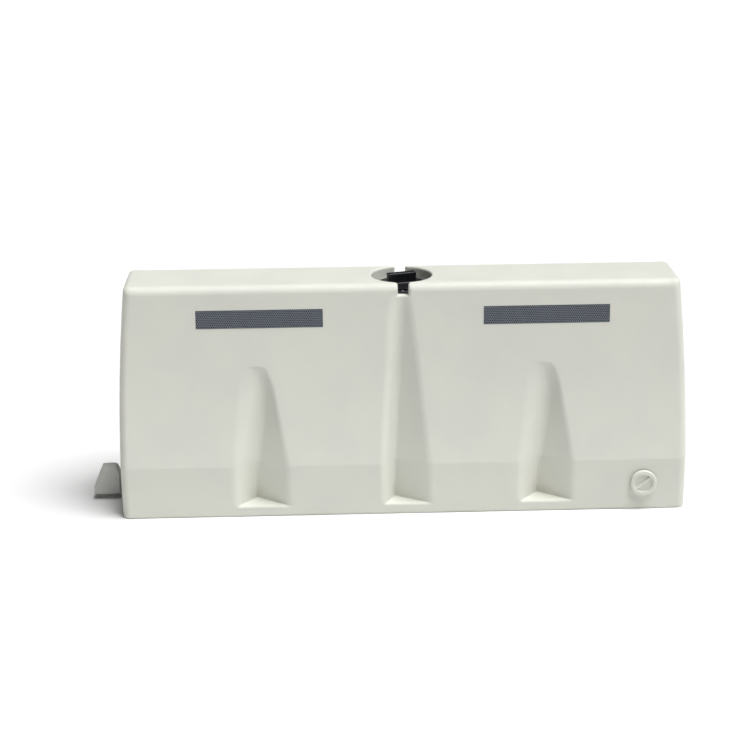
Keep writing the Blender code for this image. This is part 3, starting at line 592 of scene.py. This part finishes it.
def lug_distance(x, y, z):
    out = -(x + HALF_LENGTH)
    lean = np.clip((z - LUG_SHOULDER) / (LUG_TOP - LUG_SHOULDER), 0, None)
    back_lean = np.clip((z - LUG_NECK_TOP) / (LUG_TOP - LUG_NECK_TOP), 0, None)
    outer = (out - LUG_REACH + LUG_SLANT * lean) / math.hypot(1, LUG_SLANT / (LUG_TOP - LUG_SHOULDER))
    inner = LUG_HEAD_START + LUG_BACK_SLANT * back_lean - out
    head = fillet_common(outer, inner, LUG_EDGE)
    upright = fillet_common(np.abs(y) - LUG_HALF_WIDTH, z - LUG_TOP, LUG_TOP_ROUND)
    head = fillet_common(head, upright, 3.5 * MM)
    head = fillet_common(head, LUG_FOOT - z, 2.5 * MM)
    neck = fillet_common(np.abs(y) - LUG_NECK_HALF_WIDTH, z - LUG_NECK_TOP, LUG_EDGE)
    neck = np.maximum(neck, np.maximum(out - LUG_HEAD_START - LUG_EDGE, LUG_FOOT + 1 * MM - z))
    neck = np.maximum(neck, 0.5 * MM - out)
    middle = sum(LUG_FLANGE_HEIGHTS) / 2
    half_height = (LUG_FLANGE_HEIGHTS[1] - LUG_FLANGE_HEIGHTS[0]) / 2
    plate = fillet_common(np.abs(y) - LUG_FLANGE_HALF_WIDTH, np.abs(z - middle) - half_height,
                          LUG_FLANGE_CORNER)
    plate = fillet_common(plate, out - LUG_FLANGE, 1.5 * MM)
    plate = np.maximum(plate, 0.3 * MM - out)
    body = fillet_join(fillet_join(head, neck, 3 * MM), plate, LUG_EDGE)
    for height in LUG_BOLT_HEIGHTS:
        hole = np.sqrt((np.abs(y) - LUG_BOLT_Y) ** 2 + (z - height) ** 2) - LUG_BOLT_HOLE
        body = np.maximum(body, -hole)
    return body


def make_lug():
    step = 1.5 * MM
    low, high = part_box("coupling_lug")
    lug = mesh_from_field("soft_lug", box_axes(low, high, step), lug_distance, smooth_angle=50)
    return take_place(lug, "tank", "lug_grey", "coupling_lug")


# ---------------------------------------------------------------- materials

SHELL_TONE = (0.70, 0.71, 0.645)
SHELL_TONE_WARM = (0.73, 0.735, 0.66)
SPECK_TONE = (0.45, 0.45, 0.40)
CAP_BLACK = (0.0065, 0.007, 0.010)
DUST_ON_BLACK = (0.022, 0.023, 0.026)
RUBBED_BLACK = (0.035, 0.036, 0.042)
# The lug's greys are partly its grey plastic and partly painted shade, because the lug sits in the tank's
# shadow.
LUG_GREY_AND_SHADE = (0.60, 0.605, 0.57)
LUG_GREY_AND_SHADE_DARK = (0.54, 0.55, 0.53)
LUG_RUBBED_GREY_AND_SHADE = (0.58, 0.585, 0.56)
FOIL_TONE = (0.026, 0.034, 0.046)
FOIL_TONE_DARK = (0.020, 0.026, 0.037)
FOIL_SEAM = (0.24, 0.27, 0.31)
ZINC = (0.62, 0.62, 0.60)
ZINC_DULL = (0.42, 0.42, 0.41)
BRASS = (0.62, 0.46, 0.20)
BRASS_DULL = (0.40, 0.29, 0.13)
RUBBER = (0.022, 0.022, 0.024)
RUBBER_DARK = (0.018, 0.018, 0.020)
RUBBER_BLOOM = (0.045, 0.045, 0.046)


class Shader:
    """A Principled material whose node links are short to write."""

    def __init__(self, name, colour, roughness, metallic=0.0, specular=0.5):
        self.material = bpy.data.materials.new(name)
        self.material.use_nodes = True
        self.tree = self.material.node_tree
        self.surface = self.tree.nodes["Principled BSDF"]
        self.surface.inputs["Base Color"].default_value = (*colour, 1)
        self.surface.inputs["Roughness"].default_value = roughness
        self.surface.inputs["Metallic"].default_value = metallic
        self.surface.inputs["Specular IOR Level"].default_value = specular
        self.place = self.add("ShaderNodeTexCoord").outputs["Object"]

    def add(self, kind, **values):
        node = self.tree.nodes.new(kind)
        for name, value in values.items():
            setattr(node, name, value)
        return node

    def put(self, value, socket):
        if isinstance(value, bpy.types.NodeSocket):
            self.tree.links.new(value, socket)
        else:
            socket.default_value = value

    def noise(self, scale, detail=2.0, roughness=0.5):
        node = self.add("ShaderNodeTexNoise")
        self.put(self.place, node.inputs["Vector"])
        node.inputs["Scale"].default_value = scale
        node.inputs["Detail"].default_value = detail
        node.inputs["Roughness"].default_value = roughness
        return node.outputs["Fac"]

    def ramp(self, value, low, high, start=0.0, end=1.0):
        """value from low..high mapped to start..end and held there."""
        node = self.add("ShaderNodeMapRange")
        for socket, given in zip(node.inputs, (value, low, high, start, end)):
            self.put(given, socket)
        return node.outputs["Result"]

    def math(self, operation, *values):
        node = self.add("ShaderNodeMath", operation=operation)
        for socket, given in zip(node.inputs, values):
            self.put(given, socket)
        return node.outputs["Value"]

    def mix(self, factor, first, second):
        node = self.add("ShaderNodeMix", data_type="RGBA")
        self.put(factor, node.inputs["Factor"])
        for socket, given in ((node.inputs[6], first), (node.inputs[7], second)):
            self.put(given if isinstance(given, bpy.types.NodeSocket) else (*given, 1), socket)
        return node.outputs[2]

    def bump(self, height, strength, distance, under=None):
        node = self.add("ShaderNodeBump")
        node.inputs["Strength"].default_value = strength
        node.inputs["Distance"].default_value = distance
        self.put(height, node.inputs["Height"])
        if under:
            self.put(under, node.inputs["Normal"])
        return node.outputs["Normal"]

    def edge_wear(self, radius, threshold):
        """1 where the surface bends sharply within the radius, 0 on flat surface."""
        bevel = self.add("ShaderNodeBevel", samples=6)
        bevel.inputs["Radius"].default_value = radius
        geometry = self.add("ShaderNodeNewGeometry")
        dot = self.add("ShaderNodeVectorMath", operation="DOT_PRODUCT")
        self.put(bevel.outputs["Normal"], dot.inputs[0])
        self.put(geometry.outputs["Normal"], dot.inputs[1])
        bend = self.math("SUBTRACT", 1.0, dot.outputs["Value"])
        patchy = self.math("MULTIPLY", bend, self.ramp(self.noise(90, 4), 0.3, 0.7, 0.4, 1.6))
        return self.ramp(patchy, 0.02, threshold * 0.4)

    def finish(self, colour=None, roughness=None, normal=None):
        for value, name in ((colour, "Base Color"), (roughness, "Roughness"), (normal, "Normal")):
            if value is not None:
                self.put(value, self.surface.inputs[name])
        return self.material


def moulded_white():
    """Rotationally moulded polyethylene: off-white, faintly mottled, with a fine orange peel."""
    shader = Shader("moulded_white", SHELL_TONE, 0.5, specular=0.35)
    mottle = shader.ramp(shader.noise(5, 4), 0.35, 0.65)
    colour = shader.mix(mottle, SHELL_TONE, SHELL_TONE_WARM)
    specks = shader.ramp(shader.noise(420, 1), 0.70, 0.78)
    colour = shader.mix(shader.math("MULTIPLY", specks, 0.25), colour, SPECK_TONE)
    gloss = shader.ramp(shader.noise(14, 5), 0.3, 0.7, 0.42, 0.54)
    waves = shader.bump(shader.noise(9, 1), 0.10, 6 * MM)
    peel = shader.bump(shader.noise(330, 3), 0.16, 0.6 * MM, under=waves)
    return shader.finish(colour, gloss, peel)


def filler_black():
    """Black moulded plastic: satin, with faint flow marks, dust and rubbed edges."""
    shader = Shader("filler_black", CAP_BLACK, 0.38, specular=0.5)
    dust = shader.ramp(shader.noise(60, 6, 0.7), 0.55, 0.75)
    colour = shader.mix(shader.math("MULTIPLY", dust, 0.35), CAP_BLACK, DUST_ON_BLACK)
    wear = shader.edge_wear(1.2 * MM, 0.5)
    colour = shader.mix(shader.math("MULTIPLY", wear, 0.35), colour, RUBBED_BLACK)
    gloss = shader.ramp(shader.noise(120, 4), 0.3, 0.7, 0.30, 0.46)
    grain = shader.bump(shader.noise(1400, 3), 0.12, 0.2 * MM)
    return shader.finish(colour, gloss, grain)


def lug_grey():
    """Grey polyethylene: matt, cloudy, scuffed where the next barrier rubs it. Its grey is set darker
    than the plastic's own, partly as painted shade for the tank's shadow over the lug.
    """
    shader = Shader("lug_grey", LUG_GREY_AND_SHADE, 0.6, specular=0.3)
    cloud = shader.ramp(shader.noise(18, 4), 0.35, 0.65)
    colour = shader.mix(cloud, LUG_GREY_AND_SHADE, LUG_GREY_AND_SHADE_DARK)
    wear = shader.edge_wear(3 * MM, 0.45)
    colour = shader.mix(shader.math("MULTIPLY", wear, 0.5), colour, LUG_RUBBED_GREY_AND_SHADE)
    gloss = shader.ramp(shader.noise(90, 5), 0.3, 0.7, 0.52, 0.70)
    grain = shader.bump(shader.noise(700, 3), 0.18, 0.4 * MM)
    return shader.finish(colour, gloss, grain)


def honeycomb_cell(shader, shift):
    """Hexagonal distance from the nearest centre of one of the two rectangular lattices."""
    parts = shader.add("ShaderNodeSeparateXYZ")
    shader.put(shader.place, parts.inputs[0])
    offsets = []
    for axis, period in (("X", 1.0), ("Z", math.sqrt(3))):
        scaled = shader.math("MULTIPLY", parts.outputs[axis], 1 / HONEYCOMB_PITCH)
        moved = shader.math("ADD", scaled, shift * period)
        wrapped = shader.math("WRAP", moved, period / 2, -period / 2)
        offsets.append(shader.math("ABSOLUTE", wrapped))
    across, up = offsets
    slanted = shader.math("ADD", shader.math("MULTIPLY", across, 0.5),
                          shader.math("MULTIPLY", up, math.sqrt(3) / 2))
    return shader.math("MAXIMUM", across, slanted)


def reflective_foil():
    """Prismatic sheeting: grey cells between pale sealed seams."""
    shader = Shader("reflective_foil", FOIL_TONE, 0.3, specular=0.5)
    reach = shader.math("MINIMUM", honeycomb_cell(shader, 0.0), honeycomb_cell(shader, 0.5))
    seam = shader.ramp(reach, 0.40, 0.46)
    tone = shader.ramp(shader.noise(30, 3), 0.35, 0.65)
    cell = shader.mix(tone, FOIL_TONE, FOIL_TONE_DARK)
    colour = shader.mix(seam, cell, FOIL_SEAM)
    gloss = shader.ramp(seam, 0, 1, 0.25, 0.5)
    relief = shader.bump(seam, 0.3, 0.1 * MM)
    return shader.finish(colour, gloss, relief)


def seal_rubber():
    """Black rubber, matt, with a grey bloom."""
    shader = Shader("seal_rubber", RUBBER, 0.75, specular=0.3)
    bloom = shader.ramp(shader.noise(150, 5), 0.5, 0.7)
    colour = shader.mix(bloom, RUBBER_DARK, RUBBER_BLOOM)
    gloss = shader.ramp(shader.noise(300, 3), 0.3, 0.7, 0.65, 0.85)
    grain = shader.bump(shader.noise(2200, 2), 0.15, 0.1 * MM)
    return shader.finish(colour, gloss, grain)


def plated_metal(name, tone, dull_tone, roughness):
    """Zinc plate or brass: grey bloom, fine turning marks and bright edges."""
    shader = Shader(name, tone, roughness, metallic=1.0)
    bloom = shader.ramp(shader.noise(240, 5), 0.4, 0.65)
    colour = shader.mix(bloom, tone, dull_tone)
    wear = shader.edge_wear(0.6 * MM, 0.5)
    colour = shader.mix(wear, colour, tuple(min(1.0, 1.15 * part) for part in tone))
    gloss = shader.ramp(shader.noise(500, 4), 0.3, 0.7, roughness - 0.08, roughness + 0.14)
    marks = shader.bump(shader.noise(1800, 2), 0.12, 0.05 * MM)
    return shader.finish(colour, gloss, marks)


def paint(item, material):
    item.data.materials.clear()
    item.data.materials.append(material)


# ---------------------------------------------------------------- studio

CAMERA_PLACE = (-0.288, -5.969, 2.471)
CAMERA_YAW = math.radians(-1.845)
CAMERA_PITCH = math.radians(18.694)
CAMERA_ROLL = math.radians(-0.468)
CAMERA_LENS = 84.42
SENSOR_WIDTH = 36
KEY_DIRECTION = (0.31, -0.17, 0.935)
KEY_ANGLE = math.radians(40)
KEY_STRENGTH = 4.1
WORLD_STRENGTH = 0.03
FLOOR_TONE = 0.86
BACKDROP_RADIUS = 55.0
BACKDROP_HEIGHT = 60.0
BACKDROP_FOOT = -1.0
BACKDROP_SIDES = 64
FLOOR_REACH = 60.0


def make_camera():
    data = bpy.data.cameras.new("camera")
    data.lens = CAMERA_LENS
    data.sensor_width = SENSOR_WIDTH
    camera = add_object("camera", data)
    turn = Matrix.Rotation(CAMERA_YAW, 4, "Z") @ Matrix.Rotation(math.pi / 2 - CAMERA_PITCH, 4, "X")
    camera.matrix_world = (Matrix.Translation(CAMERA_PLACE) @ turn
                           @ Matrix.Rotation(CAMERA_ROLL, 4, "Z"))
    bpy.context.scene.camera = camera


def make_backdrop():
    """A white wall all round, seen by the camera only, so that it sheds no light on the barrier."""
    count = BACKDROP_SIDES
    turns = [math.tau * k / count for k in range(count)]
    ring = [(BACKDROP_RADIUS * math.cos(turn), BACKDROP_RADIUS * math.sin(turn)) for turn in turns]
    corners = [(x, y, z) for z in (BACKDROP_FOOT, BACKDROP_HEIGHT) for x, y in ring]
    sides = [(k, (k + 1) % count, count + (k + 1) % count, count + k) for k in range(count)]
    mesh = bpy.data.meshes.new("backdrop")
    mesh.from_pydata(corners, [], sides)
    backdrop = add_object("backdrop", mesh)
    shader = Shader("backdrop", (0.0, 0.0, 0.0), 1.0, specular=0.0)
    shader.surface.inputs["Emission Color"].default_value = (1, 1, 1, 1)
    shader.surface.inputs["Emission Strength"].default_value = 1.0
    paint(backdrop, shader.material)
    backdrop.visible_diffuse = False
    backdrop.visible_glossy = False
    backdrop.visible_shadow = False


def make_floor():
    mesh = bpy.data.meshes.new("floor")
    corners = [(x * FLOOR_REACH, y * FLOOR_REACH, 0) for x, y in ((-1, -1), (1, -1), (1, 1), (-1, 1))]
    mesh.from_pydata(corners, [], [(0, 1, 2, 3)])
    floor = add_object("floor", mesh)
    paint(floor, Shader("floor", (FLOOR_TONE,) * 3, 0.9, specular=0.1).material)


def make_lights():
    """One broad key light from the upper right, with the floor as its reflector."""
    world = bpy.data.worlds.new("studio")
    world.use_nodes = True
    background = world.node_tree.nodes["Background"]
    background.inputs["Color"].default_value = (1, 1, 1, 1)
    background.inputs["Strength"].default_value = WORLD_STRENGTH
    bpy.context.scene.world = world
    key = bpy.data.lights.new("key", "SUN")
    key.energy = KEY_STRENGTH
    key.angle = KEY_ANGLE
    item = add_object("key", key)
    item.rotation_euler = Vector(KEY_DIRECTION).to_track_quat("Z", "Y").to_euler()
    bpy.context.scene.view_settings.view_transform = "Standard"


# ---------------------------------------------------------------- assembly

def paint_nodes(material, *names):
    for name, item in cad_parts.items():
        if name.startswith(names):
            paint(item, material)


white = moulded_white()
black = filler_black()
rubber = seal_rubber()
make_camera()
paint(make_tank_skin(), white)
paint(make_plug(), white)
paint(make_cap(), black)
paint(make_lug(), lug_grey())
foil = reflective_foil()
for strip in make_strips():
    paint(strip, foil)
paint_nodes(black, "filler_ring")
paint_nodes(rubber, "ring_gasket", "cap_seal", "drain_seal")
paint_nodes(plated_metal("zinc_steel", ZINC, ZINC_DULL, 0.34), "ring_screw", "lug_bolt", "lug_washer")
paint_nodes(plated_metal("insert_brass", BRASS, BRASS_DULL, 0.32), "drain_insert", "lug_insert")
make_floor()
make_backdrop()
make_lights()
